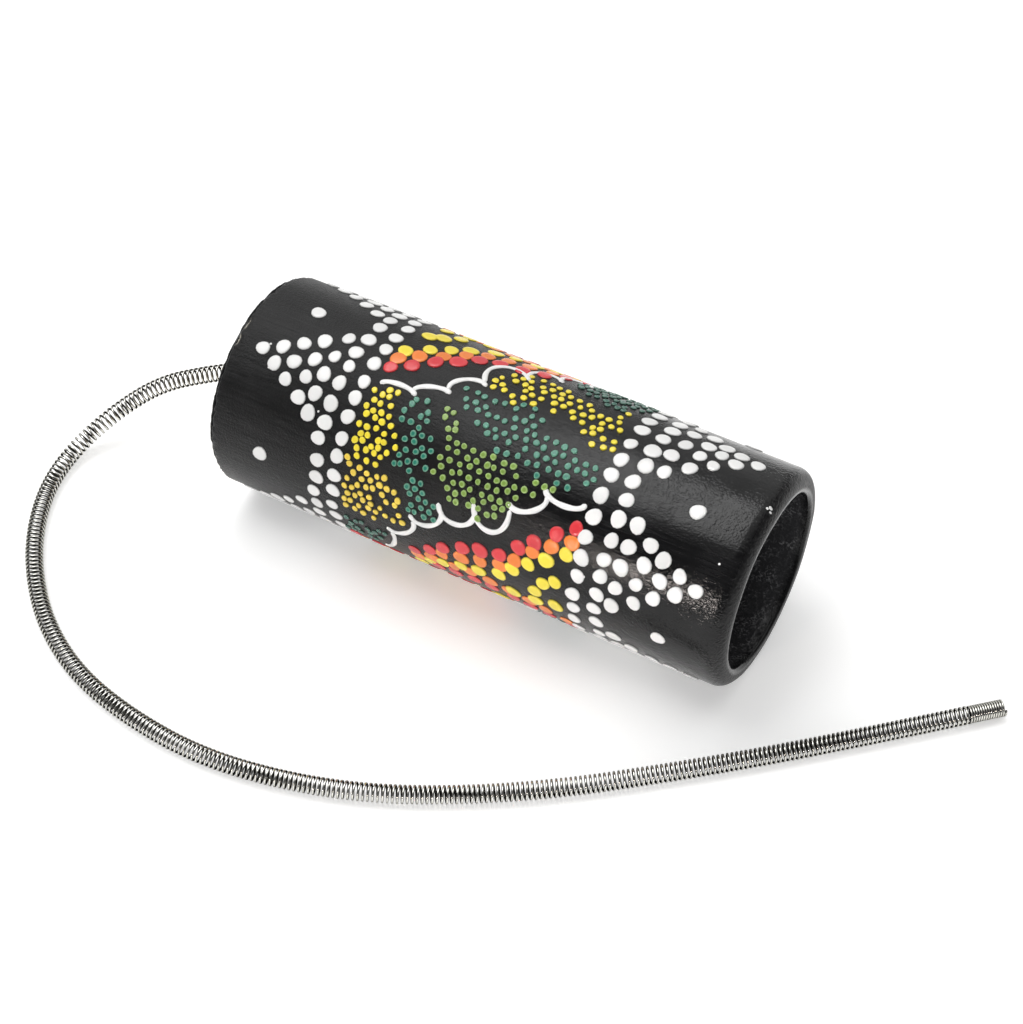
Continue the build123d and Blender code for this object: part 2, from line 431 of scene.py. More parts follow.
def turnTube(plan):
    # A closed section of distance along the tube and radius, turned round the axis; the radius swells a little
    # with angle, and the rear edge and the lip are uneven
    boreR, seatR = tubeR - plan["wall"], tubeR - plan["seatRim"]
    lipOut, lipIn, rearRound = plan["lipOuter"], plan["lipInner"], plan["rearRound"]
    stepX, easeX = rearX + plan["seatDepth"], rearX + plan["rearEase"]
    outer = join([
        straightRun((rearX, seatR), (rearX, tubeR - rearRound), count=5),
        arcRun(rearX + rearRound, tubeR - rearRound, rearRound, 180, 90, count=8),
        straightRun((rearX + rearRound, tubeR), (easeX, tubeR), count=8),
        straightRun((easeX, tubeR), (mouthX - lipOut, tubeR), count=84),
    ])
    lipOuter = arcRun(mouthX - lipOut, tubeR - lipOut, lipOut, 90, 0, count=20)
    lipInner = arcRun(mouthX - lipIn, boreR + lipIn, lipIn, 0, -90, count=9)
    inner = join([
        straightRun((mouthX - lipIn, boreR), (stepX, boreR), count=60),
        [[stepX, boreR], [stepX, seatR]],
        straightRun((stepX, seatR), (rearX, seatR), count=6),
        [[rearX, seatR]],
    ])
    section = join([outer, lipOuter, lipInner, inner])
    inside = np.repeat([0.0, 1.0], [len(section) - len(inner), len(inner)])
    matt = smooth(np.linspace(0, plan["lipMatt"], len(lipOuter)))
    lip = join([np.zeros(len(outer)), matt, np.zeros(len(lipInner) + len(inner))])

    turn = roundTurn(plan["aroundCount"])
    x = section[:, :1] + 0 * turn
    r = section[:, 1:] + 0 * turn
    nearRear = smooth((rearX + plan["nickLength"] - x) / plan["nickLength"])
    nearRear = nearRear * smooth((r - seatR) / plan["nickDepth"])
    nearLip = smooth((x - mouthX + plan["lipEase"]) / plan["lipEase"])
    away = np.degrees(turn)[:, None] - np.array(plan["chipAngles"])
    chipped = np.exp(-((away / plan["chipSpread"]) ** 2)).max(1)
    x = x + nearRear * (np.abs(wobble(turn, **plan["nicksAlong"])) + plan["chipAlong"] * chipped)
    x = x - nearLip * np.abs(wobble(turn, **plan["lipWaves"]))
    r = r + np.where(inside[:, None] > 0, 0, tubeWave(turn, x))
    r = r - nearRear * (np.abs(wobble(turn, **plan["nicksIn"])) + plan["chipIn"] * chipped)
    z = np.maximum(axisZ + r * np.cos(turn), 0.0)
    points = np.stack([x, -r * np.sin(turn), z], -1).reshape(-1, 3)
    bare = smooth((rearX + plan["chipReach"] - x) / plan["chipFade"]) * chipped * (inside[:, None] == 0)
    values = {"inside": np.repeat(inside, len(turn)), "lip": np.repeat(lip, len(turn)), "bare": bare}
    return points, gridFaces(len(section), len(turn), wrapRows=True), values


coatPlan = {
    "glossRise": (rearX + 50 * mm, mouthX - 25 * mm),
    "boreDark": (mouthX - 60 * mm, mouthX - 20 * mm, 1.0, 0.0),
    "streaks": (1.0, 3.0, (60.0, 1100.0, 1100.0)), "dust": (60.0, 2.6),
    "pores": (1500.0, 2.0), "rough": (240.0, 4.0), "patches": (42.0, 4.0),
    "patchRange": (0.25, 0.70, 0.30, 1.0),
    "lumps": {"Scale": 900.0, "Detail": 1.0, "Roughness": 0.5, "Distortion": 1.2},
    "curlRange": (0.50, 0.64), "curlFaint": (0.3, 0.8, 0.15, 1.0),
    "blacks": ((0.0022, 0.0022, 0.0025), (0.017, 0.017, 0.0175)),
    # Pale squiggles painted in the bore stand in for reflections of the light that comes in at the mouth
    "boreReflectionColours": ((0.034, 0.034, 0.036), (0.14, 0.14, 0.143)),
    "deepColour": (0.010, 0.0095, 0.009),
    "bareColour": (0.66, 0.62, 0.52), "bareRange": (0.25, 0.45),
    "roughness": (0.38, 0.08),  # at the rear and at the mouth, as are the three lifts
    "dustMatt": (-0.03, 0.06), "deepMatt": 0.4, "lipMatt": 0.34,
    "streakLift": (0.24, 0.03), "poreLift": (0.44, 0.06), "lumpLift": (0.26, 0.25), "lipLumps": 2.0,
    "lift": (0.8, 0.8 * mm),
}


def blackCoat(plan):
    # Black paint over bamboo: long brush streaks at the rear, gloss with lumpy patches towards the mouth, a matt
    # lip, pale squiggles of painted reflection in the first part of the bore, dark beyond, and pale chips on the
    # rear edge
    material, tree = newMaterial("blackCoat")
    point = objectPoint(tree)
    along = addNode(tree, "SeparateXYZ", "X", {"Vector": point})
    towardsMouth = mapRange(tree, along, *plan["glossRise"])
    inside, lip, bare = [stored(tree, name) for name in ("inside", "lip", "bare")]
    deep = times(tree, inside, mapRange(tree, along, *plan["boreDark"]))
    streaks, streakHeight = grain(tree, *plan["streaks"])
    dust = grain(tree, *plan["dust"])[0]
    pores, poreHeight = grain(tree, *plan["pores"])
    rough, roughHeight = grain(tree, *plan["rough"])
    patches = mapRange(tree, grain(tree, *plan["patches"])[0], *plan["patchRange"])
    lumps = addNode(tree, "TexNoise", "Fac", {"Vector": point, **plan["lumps"]})

    colour = mix(tree, times(tree, streaks, dust), *plan["blacks"])
    # Painted reflection: pale squiggles in the first part of the bore, fading out deeper in
    reflectionCurls = times(tree, mapRange(tree, lumps, *plan["curlRange"]), mapRange(tree, rough, *plan["curlFaint"]))
    colour = mix(tree, inside, colour, mix(tree, reflectionCurls, *plan["boreReflectionColours"]))
    colour = mix(tree, deep, colour, plan["deepColour"])
    bare = times(tree, bare, mapRange(tree, pores, *plan["bareRange"]))
    colour = mix(tree, bare, colour, plan["bareColour"])
    moreRough = [between(tree, dust, *plan["dustMatt"]), times(tree, deep, plan["deepMatt"]),
                 times(tree, lip, plan["lipMatt"])]
    heights = {"streakLift": streakHeight, "poreLift": poreHeight, "lumpLift": lumps}
    streakLift, poreLift, lumpLift = [
        times(tree, height, between(tree, towardsMouth, *plan[key])) for key, height in heights.items()
    ]
    lumpLift = times(tree, lumpLift, plus(tree, patches, times(tree, lip, plan["lipLumps"])))
    height = plus(tree, streakLift, poreLift, lumpLift, times(tree, roughHeight, inside))
    return dress(material, plan, colour, towardsMouth, height, {"Specular IOR Level": 0.29}, moreRough)


tubePoints, tubeQuads, tubeValues = turnTube(tubePlan)
tube = makePiece("bambooTube", tubePoints, tubeQuads, noTriangles, blackCoat(coatPlan), tubeValues)
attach(tube, "tube")
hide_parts("tube_shell")
print("tube:", len(tubePoints), "points")


# Painted pattern: places are mm along the tube and degrees round it, from the top towards the near side
whitePlan = {
    "dot": 4.95, "height": 0.48, "segments": 14, "seed": 31,
    "scatter": (0.35, 0.6), "scatterSeed": 21,
    "rings": [(-48.5, 36, -0.5), (-41.8, 35, 2.2), (42.0, 34, 0.5), (49.5, 36, 0.0)],  # along, dots, first angle
    "rowDots": 5,
    # first row, step and lean from one row to the next, angles of the middles
    "triangles": [(-54.3, -5.75, 0.0, (-44, 27, 125.5, 221)), (55.2, 5.75, -1.0, (-13.5, 61, 130.5, 203, 275))],
    "dotAngle": 11.0, "dotAngleLess": 0.6,
    "singles": [(-68.5, -4.5), (-68.5, 80.5), (-68.5, 173), (-68.5, 269),
                (70, 22), (70, 91.5), (70, 166), (70, 239), (70, 311)],
    "singleDot": 5.2,
    "strays": [(44.5, 72.8, 0.9), (82, 41, 0.7), (-75.5, 23.5, 0.8), (-72.5, 35, 0.7), (-51.5, 46, 0.7),
               (88, 5, 1.3), (87.3, 6.3, 0.9), (88.5, 7, 0.7)],  # along, angle, width
    "strayHeight": 0.2,
}
warmPlan = {
    "dot": 5.15, "heights": {"red": 0.42, "orange": 0.336, "yellow": 0.42},
    "segments": 14, "seed": 51, "scatter": (0.4, 0.7), "scatterSeed": 41, "spacing": 6.9,
    "upperSide": [(-13, 105.5), (-0.5, 89.5), (16, 81.5), (28.5, 63), (38.5, 51.5)],
    "lowerSide": [(-6, 113.5), (8, 110), (22, 113.5), (38.5, 122)],
    "rowAngle": 6.7,  # degrees between the red, orange and yellow rows
    "rowPhase": -0.06,  # share of a step from one row to the next
    "middle": [(28.5, 96), (32.5, 87), (36.5, 83), (35.5, 101), (29, 105.5), (21, 105)],
}
patchPlan = {
    "dot": 2.15, "height": 0.50, "segments": 10, "seed": 71, "unitSeed": 100,
    "apart": 1.9,  # least distance between dots of different patches
    "rowShare": 0.87,  # distance between rows as a share of the spacing
    "jitter": 0.6, "skipShare": 0.06,
    "patches": [  # paint, spacing, outline
        ("yellow", 2.95, [(-39, 24), (-30, 22), (-28, 33), (-22.5, 48), (-28, 60), (-37, 60)]),
        ("gold", 3.0, [(-38, 61), (-26, 63), (-18, 72), (-15.5, 88), (-27, 92), (-38, 92)]),
        ("deepTeal", 2.8, [(-39, 97), (-24, 99), (-22.5, 104), (-27, 114), (-39, 114)]),
        ("teal", 3.0, [(-24, 17), (-18.5, 17), (-17, 30), (-12, 36), (-11, 52), (-15, 56), (-5, 70), (-6, 79),
                       (-15, 79), (-17, 64), (-25, 58), (-24, 36), (-27.5, 30)]),
        ("green", 3.2, [(-15.5, 16), (-7, 22), (-4, 32), (12, 31), (18, 42), (24, 33), (30, 36), (20, 47),
                        (14, 66), (0, 67), (-10, 54), (-9, 40), (-13, 30)]),
        ("teal", 3.3, [(-13, 5), (12, 2), (20, 13), (30, 14), (39, 20), (36, 35), (20, 35), (6, 31), (-2, 25),
                       (-8, 17)]),
        ("yellow", 3.3, [(-6, -7), (-4, -16), (3, -21), (12, -20), (22, -17), (29, -9), (36, -24), (39, 5),
                         (37, 16), (28, 7), (12, -1), (3, 5), (-6, -1)]),
        ("deepTeal", 2.9, [(13, -34), (19, -43), (28, -52), (39, -54), (38, -31), (31, -17), (22, -22),
                           (13, -29)]),
    ],
}
linePlan = {
    "width": 1.75, "height": 0.42, "sunk": 0.2, "swingPower": 0.85,
    "waver": (0.10, 0.9),  # share of the width and radians in a mm
    "tone": 0.9,
    "sides": [  # tips, depths of the strokes between them, from a tip to where the next stroke starts
        ([(38.5, 38.5), (25.5, 38.5), (16, 51.5), (5.5, 58.5), (-5.5, 66), (-14.5, 79), (-22.5, 94.5), (-26, 117)],
         (3.0, 3.8, 8.2, 6.0, 4.6, 3.6, 2.5), (1.1, 3.4)),
        ([(-36.5, 21.5), (-25, 21), (-15.5, 13), (-7, 1), (2.5, -15), (10.5, -26), (18, -36.5), (24, -45),
          (27.5, -57)], (2.0, 2.0, 3.4, 7.9, 5.0, 4.2, 3.6, 2.5), (-1.0, -2.6)),
    ],
    "samples": 44, "sectionPoints": 10,
}
unitTurns = (0.0, 180.0)  # the pattern between the rings comes twice round the tube
mirrorPlace = (2.0, 63.5)  # half of each unit is the other half turned about the middle of these
floorGap = 0.02 * mm
arcPerDegree = tubeR / mm * math.pi / 180


def surfacePoints(along, angle, lift):
    # Point on the tube at a distance along and an angle round, lifted off the wavy surface or the round of the lip
    # and kept off the floor
    lip = tubePlan["lipOuter"]
    past = np.clip(along - (mouthX - lip), 0, lip)
    r = tubeR - lip + np.sqrt(lip**2 - past**2) + tubeWave(angle, along) + lift
    z = np.maximum(axisZ + r * np.cos(angle), floorGap)
    return np.stack([along, -r * np.sin(angle), z], -1)


def scattered(places, plan, index=0):
    # The places moved at random, by their own spread along and round
    rng = np.random.default_rng(plan["scatterSeed"] + index)
    return places + rng.normal(0, 1, places.shape) * plan["scatter"]


def ringPlaces(rings):
    # Even steps round the tube at each distance along it
    return join([np.stack([np.full(n, x), first + np.arange(n) * 360 / n], -1) for x, n, first in rings])


def trianglePlaces(plan, base, step, lean, centres):
    # Rows with one dot less each, centred on an angle that leans a little from row to row
    row = np.repeat(np.arange(plan["rowDots"]), plan["rowDots"] - np.arange(plan["rowDots"]))
    place = join([np.arange(n) - (n - 1) / 2 for n in range(plan["rowDots"], 0, -1)])
    angle = place * (plan["dotAngle"] - plan["dotAngleLess"] * row) + lean * row
    angles = np.add.outer(np.array(centres), angle).ravel()
    return np.stack([np.tile(base + step * row, len(centres)), angles], -1)


def rowPlaces(plan, side, row, way=1):
    # Even steps along the straight runs between a side's corners; each row after the first is shifted by a share
    # of a step and by an angle
    corners = np.array(plan[side], float)
    runs = np.diff(corners, axis=0) * [1, arcPerDegree]
    at = join([[0], np.cumsum(np.hypot(*runs.T))])
    count = round(at[-1] / plan["spacing"])
    steps = (np.arange(count + 1) + row * plan["rowPhase"]) * at[-1] / count
    places = [np.interp(steps, at, corners[:, k]) for k in range(2)]
    return np.stack(places, -1) + [0, way * row * plan["rowAngle"]]


def insideOutline(places, corners):
    # A place is inside when a line from it crosses the outline an odd number of times
    a = np.array(corners, float)
    b = np.roll(a, -1, 0)
    x, y = places[:, :1], places[:, 1:]
    spans = (a[:, 1] > y) != (b[:, 1] > y)
    rise = np.where(b[:, 1] == a[:, 1], 1.0, b[:, 1] - a[:, 1])
    crossing = a[:, 0] + (y - a[:, 1]) * (b[:, 0] - a[:, 0]) / rise
    return (spans & (x < crossing)).sum(1) % 2 == 1


def patchPlaces(corners, spacing, seed, plan):
    # Staggered rows over the outline's box, each dot moved at random, those inside kept and a few skipped
    rng = np.random.default_rng(seed)
    low, high = np.min(corners, 0), np.max(corners, 0)
    across = np.arange(low[0], high[0] + spacing, spacing)
    down = np.arange(low[1], high[1] + spacing, spacing * plan["rowShare"] / arcPerDegree)
    x, y = np.meshgrid(across, down)
    x = x + (np.arange(len(down)) % 2 * spacing / 2)[:, None]
    moved = rng.uniform(-1, 1, (x.size, 2)) * plan["jitter"] * [1, 1 / arcPerDegree]
    places = np.stack([x.ravel(), y.ravel()], -1) + moved
    kept = rng.uniform(0, 1, len(places)) > plan["skipShare"]
    return places[kept & insideOutline(places, corners)]


def clearOf(places, others, least):
    # Places with none of the others nearer than the least distance over the surface
    away = (places[:, None] - others) * [1, arcPerDegree]
    return places[~(np.hypot(away[..., 0], away[..., 1]) < least).any(1)]


def allUnits(places):
    # The places and the same turned half round about the middle of the unit, repeated round the tube
    both = join([places, np.array(mirrorPlace) - places])
    return join([both + [0, turn] for turn in unitTurns])


paintPlan = {
    "colours": {  # the last number is how strong the dot's painted highlight ring is
        "white": (0.90, 0.897, 0.885, 0.0),
        "red": (0.74, 0.040, 0.052, 0.1),
        "orange": (0.93, 0.240, 0.036, 0.1),
        "yellow": (0.98, 0.800, 0.050, 0.15),
        "gold": (0.98, 0.710, 0.075, 0.3),
        "teal": (0.034, 0.290, 0.195, 0.9),
        "deepTeal": (0.020, 0.140, 0.105, 0.6),
        "green": (0.305, 0.500, 0.085, 1.0),
    },
    # Each dot's own tone, a painted highlight ring round a darker middle, and a thin rim darkened by black showing
    # through and by a painted shadow outline
    "dimShare": 0.18, "deepShare": 0.32, "ringHighlightShare": 0.16,
    "ringHighlightColour": (0.84, 0.90, 0.72),
    "ringRange": (0.40, 0.78),  # shares of the radius where the ring starts and is full
    # Darker rim: black showing through the thin paint, and a painted shadow outline where the dot meets the coat
    "thinShadedRimPower": (20.0, 8.0),  # without a ring and with one
    "thinShadedRimShare": 0.85, "thinShadedRimColour": (0.01, 0.01, 0.01),
    "smudge": (500.0, 1.5), "smudgeTone": (0.75, 1.0),
    "roughness": (0.16, 0.30), "lift": (0.25, 0.1 * mm),
}


def makePaintGroup(plan):
    # Paint colour: each dot has its own tone, a painted highlight ring goes round a deeper middle, and the
    # black shows through the thin rim by a power of the share of the radius, which also paints a shadow outline
    # round the dot
    inputs = {"Colour": "Color", "Tone": "Float", "Edge": "Float", "Ring": "Float"}
    group, start, end = newGroup("paintTone", inputs, {"Colour": "Color"})
    black = (0.0, 0.0, 0.0)
    dim = mix(group, plan["dimShare"], start["Colour"], black)
    toned = mix(group, start["Tone"], dim, start["Colour"])
    deep = mix(group, plan["deepShare"], toned, black)
    # Painted highlight: a pale ring round a darker middle
    pale = mix(group, plan["ringHighlightShare"], toned, plan["ringHighlightColour"])
    ringed = mix(group, mapRange(group, start["Edge"], *plan["ringRange"]), deep, pale)
    highlightRinged = mix(group, start["Ring"], toned, ringed)
    # Thin rim: black showing through, and a painted shadow outline round the dot
    power = between(group, start["Ring"], *plan["thinShadedRimPower"])
    thinShadedRim = times(group, maths(group, "POWER", start["Edge"], power), plan["thinShadedRimShare"])
    feed(group, end, {"Colour": mix(group, thinShadedRim, highlightRinged, plan["thinShadedRimColour"])})
    return group


paintGroup = makePaintGroup(paintPlan)


def dotPaint(name, colour, plan):
    *shade, ring = colour
    material, tree = newMaterial(name)
    smudge, height = grain(tree, *plan["smudge"])
    tone = times(tree, stored(tree, "tone"), between(tree, smudge, *plan["smudgeTone"]))
    inputs = {"Colour": (*shade, 1.0), "Ring": ring, "Tone": tone, "Edge": stored(tree, "edge")}
    toned = addNode(tree, "Group", "Colour", inputs, node_tree=paintGroup)
    return dress(material, plan, toned, smudge, height)


paints = {key: dotPaint(key + "Paint", colour, paintPlan) for key, colour in paintPlan["colours"].items()}
domePlan = {
    "profile": np.array([(1.0, -0.30), (0.96, 0.50), (0.82, 0.92), (0.50, 1.0)]),  # shares of radius and of height
    "poles": (-0.4, 0.80),  # shares of the height under the dot and in the dimple
    "bulges": (0.06, 0.035),  # twice and three times round
    "widthSpread": 0.055, "widthLimits": (0.85, 1.15),
    "heightLimits": (0.8, 1.15), "toneLimits": (0.35, 1.0),
}


def finishPaint(name, points, rows, columns, edge, tone, paint):
    # One piece of many blobs of paint, each a capped grid of so many rows and columns
    count, size = points.shape[:2]
    first = (np.arange(count) * size)[:, None, None]
    quads = (gridFaces(rows, columns) + first).reshape(-1, 4)
    triangles = (capFaces(rows, columns) + first).reshape(-1, 3)
    values = {"edge": np.tile(edge, count), "tone": np.repeat(tone, size)}
    piece = makePiece(name, points.reshape(-1, 3), quads, triangles, paints[paint], values)
    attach(piece, "tube")


def paintDots(name, places, width, height, plan, paint, index=0):
    # Each dot is a low dome: rings of points at shares of its radius, lifted by shares of its height, with an
    # outline that bulges two and three times round and a shallow dimple in the middle
    rng = np.random.default_rng(plan["seed"] + index)
    profile, segments = domePlan["profile"], plan["segments"]
    count = len(places)
    theta = -roundTurn(segments)
    two, three = rng.uniform(0, 2 * np.pi, (2, count, 1, 1))
    bulgeTwo, bulgeThree = domePlan["bulges"]
    outline = 1 + bulgeTwo * np.cos(2 * theta + two) + bulgeThree * np.cos(3 * theta + three)
    widths = np.clip(rng.normal(1, domePlan["widthSpread"], count), *domePlan["widthLimits"])
    rise = height * mm * rng.uniform(*domePlan["heightLimits"], count)
    reach = (width * mm / 2 * widths)[:, None, None] * profile[:, :1] * outline
    x, angle = places[:, 0] * mm, np.radians(places[:, 1])
    ringX = x[:, None, None] + reach * np.cos(theta)
    ringAngle = angle[:, None, None] + reach * np.sin(theta) / tubeR
    lift = rise[:, None, None] * profile[:, 1:] + 0 * theta
    dome = surfacePoints(ringX, ringAngle, lift).reshape(count, -1, 3)
    poles = np.stack([surfacePoints(x, angle, rise * share) for share in domePlan["poles"]], 1)
    points = join([dome, poles], 1)
    edge = join([np.repeat(profile[:, 0], segments), [1.0, 0.0]])
    tone = rng.uniform(*domePlan["toneLimits"], count)
    finishPaint(name, points, len(profile), segments, edge, tone, paint)
    print(name, count, "dots")


def sideStrokes(tips, depths, shift):
    # Start, end and depth of each stroke, which runs from beside one tip, on the stroke before it, to the next tip
    tips = np.array(tips, float)
    starts = tips[:-1].copy()
    starts[1:] += shift
    return np.column_stack([starts, tips[1:], depths])


def paintScallops(plan):
    # White lines on both sides of the patches: each stroke swings out from the straight line between its ends by
    # its depth times a power of the sine of its share, and a low rounded section is carried along it
    strokes = join([sideStrokes(*side) for side in plan["sides"]])
    strokes = join([strokes + [0, turn, 0, turn, 0] for turn in unitTurns])
    starts, ends = strokes[:, :2] * [1, arcPerDegree], strokes[:, 2:4] * [1, arcPerDegree]
    t = np.linspace(0, 1, plan["samples"])[:, None]
    chord = (ends - starts)[:, None]
    out = np.stack([chord[..., 1], -chord[..., 0]], -1) / np.linalg.norm(chord, axis=-1, keepdims=True)
    swing = strokes[:, 4:, None] * np.sin(np.pi * t) ** plan["swingPower"]
    path = starts[:, None] + chord * (1 - np.cos(np.pi * t)) / 2 + out * swing
    way = np.gradient(path, axis=1)
    step = np.linalg.norm(way, axis=-1)
    along = np.cumsum(step, 1) - step[:, :1]
    fromEnd = np.minimum(along, along[:, -1:] - along)
    half = plan["width"] / 2
    taper = np.sqrt(np.clip(1 - (1 - np.clip(fromEnd / half, 0.01, 1)) ** 2, 0, 1))
    waver, pace = plan["waver"]
    wide = half * taper * (1 + waver * np.cos(along * pace + np.arange(len(along))[:, None]))
    right = np.stack([way[..., 1], -way[..., 0]], -1) / step[..., None]
    around = roundTurn(plan["sectionPoints"])
    aside = wide[..., None] * np.cos(around)
    lift = np.where(np.sin(around) > 0, plan["height"], plan["sunk"]) * np.sin(around) * taper[..., None] * mm
    x = (path[..., :1] + right[..., :1] * aside) * mm
    arc = (path[..., 1:] + right[..., 1:] * aside) * mm
    count, samples, segments = x.shape
    strips = surfacePoints(x, arc / tubeR, lift).reshape(count, -1, 3)
    tips = np.stack([surfacePoints(path[:, k, 0] * mm, path[:, k, 1] * mm / tubeR, 0.0) for k in (0, -1)], 1)
    points = join([strips, tips], 1)
    edge = join([np.tile(np.abs(np.cos(around)), samples), [1.0, 1.0]])
    finishPaint("whiteLines", points, samples, segments, edge, np.full(count, plan["tone"]), "white")
    print("whiteLines", count, "strokes")


def paintWhite(plan):
    # Rings, triangles, single dots and stray specks
    triangles = [trianglePlaces(plan, *triangle) for triangle in plan["triangles"]]
    even = scattered(join([ringPlaces(plan["rings"]), *triangles]), plan)
    singles, strays = np.array(plan["singles"]), np.array(plan["strays"])
    counts = [len(even), len(singles)]
    widths = join([np.repeat([plan["dot"], plan["singleDot"]], counts), strays[:, 2]])
    heights = np.repeat([plan["height"], plan["strayHeight"]], [sum(counts), len(strays)])
    paintDots("whiteDots", join([even, singles, strays[:, :2]]), widths, heights, plan, "white")


def paintWarm(plan):
    # Red, orange and yellow rows on each side of both halves, with yellow in the middle
    rows = {
        "red": [rowPlaces(plan, "upperSide", 0), rowPlaces(plan, "lowerSide", 0)],
        "orange": [rowPlaces(plan, "upperSide", 1), rowPlaces(plan, "lowerSide", 1, way=-1)],
        "yellow": [rowPlaces(plan, "upperSide", 2), np.array(plan["middle"])],
    }
    for index, (paint, runs) in enumerate(rows.items()):
        places = scattered(allUnits(join(runs)), plan, index)
        paintDots(paint + "RowDots", places, plan["dot"], plan["heights"][paint], plan, paint, index)


def paintPatches(plan):
    # Small dots in patches, placed anew in each unit
    dots = {}
    for unitIndex, turn in enumerate(unitTurns):
        taken = np.empty((0, 2))
        for index, (paint, spacing, corners) in enumerate(plan["patches"]):
            places = patchPlaces(corners, spacing, plan["unitSeed"] * unitIndex + index, plan) + [0, turn]
            places = clearOf(places, taken, plan["apart"])
            taken = join([taken, places])
            dots.setdefault(paint, []).append(places)
    for index, (paint, runs) in enumerate(dots.items()):
        paintDots(paint + "SmallDots", join(runs), plan["dot"], plan["height"], plan, paint, index)


paintWhite(whitePlan)
paintWarm(warmPlan)
paintPatches(patchPlan)
paintScallops(linePlan)


# Skin: one sheet from the glued edge over a shallow cone to the hole in its middle
acrossSheet = (0.0, 1.0, 1.0)  # the marks on the sheet stay put as it bulges along the tube
skinPlan = {
    "thick": 0.4 * mm, "edgeR": 34.2 * mm, "coneR": 29.5 * mm, "crownR": 9.5 * mm, "holeR": 4.22 * mm,
    "cut": {"seed": 12, "waves": (3, 7, 19, 31, 47, 67), "size": 1.4 * mm},
    "aroundCount": 360,
    "paintStart": (33.1 * mm, 31.3 * mm),  # radius where the black paint that ran over the edge starts
    "clouds": (55.0, 3.0, acrossSheet),
    "fibres": (1.0, 2.4, (0.0, 900.0, 260.0)),
    "pores": (1300.0, 2.0, acrossSheet),
    "veins": {"Scale": 45.0, "Detail": 4.0, "Distortion": 0.8},
    "veinRange": (0.0, 0.03, 0.34, 0.0), "speckRange": (0.02, 0.16, 0.45, 0.0), "fibreShare": 0.35,
    "tans": ((0.43, 0.31, 0.17), (0.66, 0.54, 0.36)),
    "fibreColour": (0.74, 0.64, 0.47), "veinColour": (0.27, 0.16, 0.08), "speckColour": (0.20, 0.12, 0.06),
    "poreLift": 0.5, "cloudLift": 3.0, "roughness": (0.40, 0.60), "lift": (0.5, 0.18 * mm),
}
rimPlan = {"fade": 0.4 * mm, "black": (0.010, 0.010, 0.011)}


def drawSkin(plan):
    # Distance back against radius: flat on the rim, straight down the cone, flat round the hole; turned round the
    # axis with an edge cut unevenly
    rimX, crownX = skinHigh.x - plan["thick"] / 2, skinLow.x + plan["thick"] / 2
    radii = join([
        np.linspace(plan["edgeR"], plan["coneR"], num=6),
        np.linspace(plan["coneR"], plan["crownR"], num=18)[1:],
        np.linspace(plan["crownR"], plan["holeR"], num=6)[1:],
    ])
    x = np.interp(radii, [plan["crownR"], plan["coneR"]], [crownX, rimX])
    turn = roundTurn(plan["aroundCount"])
    atEdge = smooth((radii - plan["coneR"]) / (plan["edgeR"] - plan["coneR"]))[:, None]
    r = radii[:, None] - atEdge * np.abs(wobble(turn, **plan["cut"]))
    x = x[:, None] + 0 * turn
    points = np.stack([x, -r * np.sin(turn), axisZ + r * np.cos(turn)], -1).reshape(-1, 3)
    return points, gridFaces(len(radii), len(turn))[:, ::-1], rimX, crownX


def makeRimGroup(plan):
    # Black paint that ran over the rear edge: none up to a start radius about the tube's axis, full past the fade
    group, start, end = newGroup("paintedRim", {"Start": "Float"}, {"Mask": "Float"})
    axisPoint = objectPoint(group, acrossSheet, (0.0, 0.0, -axisZ))
    reach = addNode(group, "VectorMath", "Value", {0: axisPoint}, operation="LENGTH")
    past = maths(group, "SUBTRACT", reach, start["Start"])
    feed(group, end, {"Mask": mapRange(group, past, 0.0, plan["fade"])})
    return group


rimGroup = makeRimGroup(rimPlan)


def paintedRim(tree, colour, share, starts):
    # The colour, black past a start radius that the share picks between two
    mask = addNode(tree, "Group", "Mask", {"Start": between(tree, share, *starts)}, node_tree=rimGroup)
    return mix(tree, mask, colour, rimPlan["black"])


def rawhide(plan):
    # Dry hide: cloudy tan with faint veins, pores and hair specks, a ragged edge where the black paint ran over it
    material, tree = newMaterial("rawhide")
    clouds, cloudHeight = grain(tree, *plan["clouds"])
    fibres, fibreHeight = grain(tree, *plan["fibres"])
    pores, poreHeight = grain(tree, *plan["pores"])
    veins = addNode(tree, "TexNoise", "Fac", {"Vector": objectPoint(tree, acrossSheet), **plan["veins"]})
    away = maths(tree, "ABSOLUTE", maths(tree, "SUBTRACT", veins, 0.5))
    vein = times(tree, mapRange(tree, away, *plan["veinRange"]), clouds)
    colour = mix(tree, clouds, *plan["tans"])
    colour = mix(tree, times(tree, fibres, plan["fibreShare"]), colour, plan["fibreColour"])
    colour = mix(tree, vein, colour, plan["veinColour"])
    colour = mix(tree, mapRange(tree, pores, *plan["speckRange"]), colour, plan["speckColour"])
    colour = paintedRim(tree, colour, clouds, plan["paintStart"])
    lifts = [times(tree, poreHeight, plan["poreLift"]), times(tree, cloudHeight, plan["cloudLift"]), fibreHeight]
    return dress(material, plan, colour, fibres, plus(tree, *lifts))


skinPoints, skinQuads, skinRimX, skinCrownX = drawSkin(skinPlan)
skin = makePiece("drumSkin", skinPoints, skinQuads, noTriangles, rawhide(skinPlan))
thickness = skin.modifiers.new("thickness", "SOLIDIFY")
thickness.thickness = skinPlan["thick"]
thickness.offset = 0.0
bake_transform(skin)
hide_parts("skin")
print("skin:", len(skinPoints), "points")


